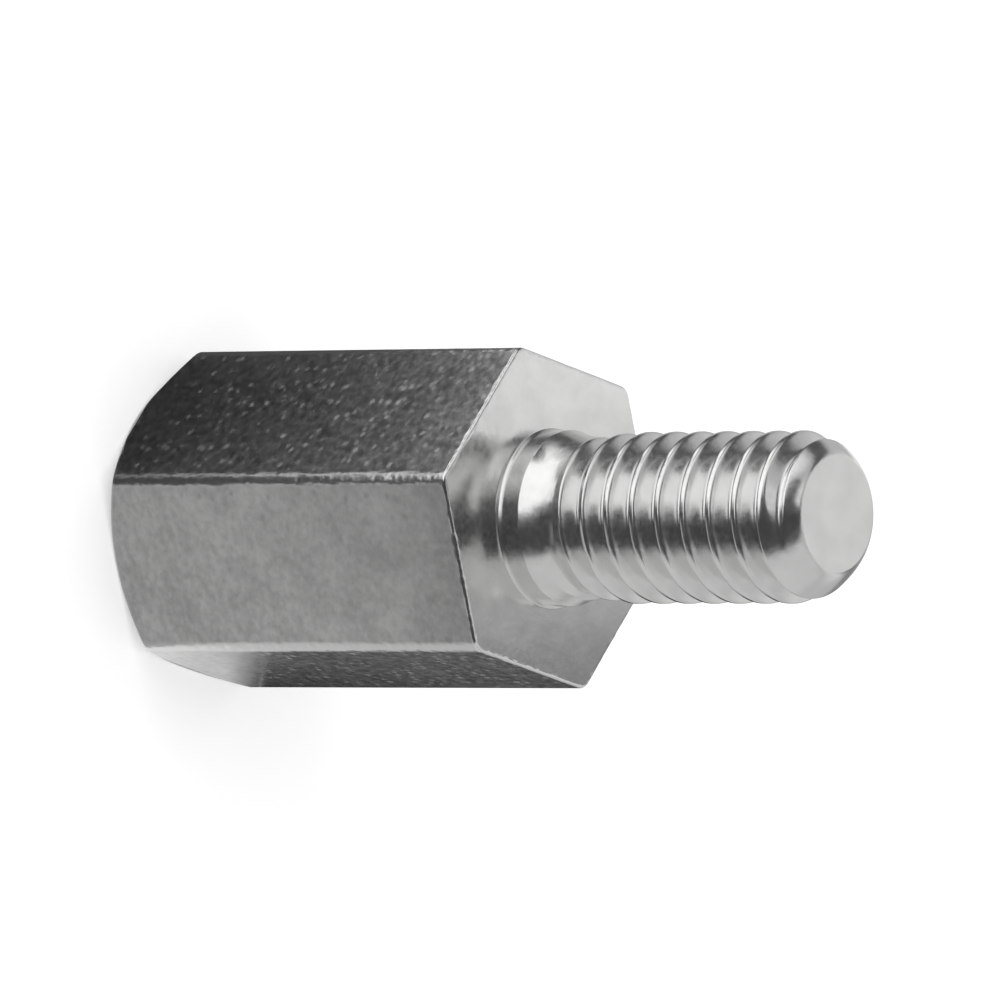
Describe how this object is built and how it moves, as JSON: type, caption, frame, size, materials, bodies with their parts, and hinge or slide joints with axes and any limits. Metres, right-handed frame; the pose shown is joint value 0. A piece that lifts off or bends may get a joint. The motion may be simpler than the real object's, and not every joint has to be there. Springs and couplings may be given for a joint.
{
  "type": "hex standoff",
  "caption": "Male to female hex standoff: a hexagonal metal pillar with a blind tapped hole in one end and a short threaded stud on the other.",
  "frame": {"origin": "centre of the female end face, on the thread axis", "axes": "+Z along the thread axis from the female end towards the stud's tip; +X through one long corner of the hexagon; +Y square to a flat"},
  "size_m": [0.008, 0.007, 0.018],
  "materials": {
    "plated_steel": "bright nickel plate over drawn and turned steel"
  },
  "bodies": {
    "root": {"hex_standoff": "plated_steel"}
  },
  "joints": []
}
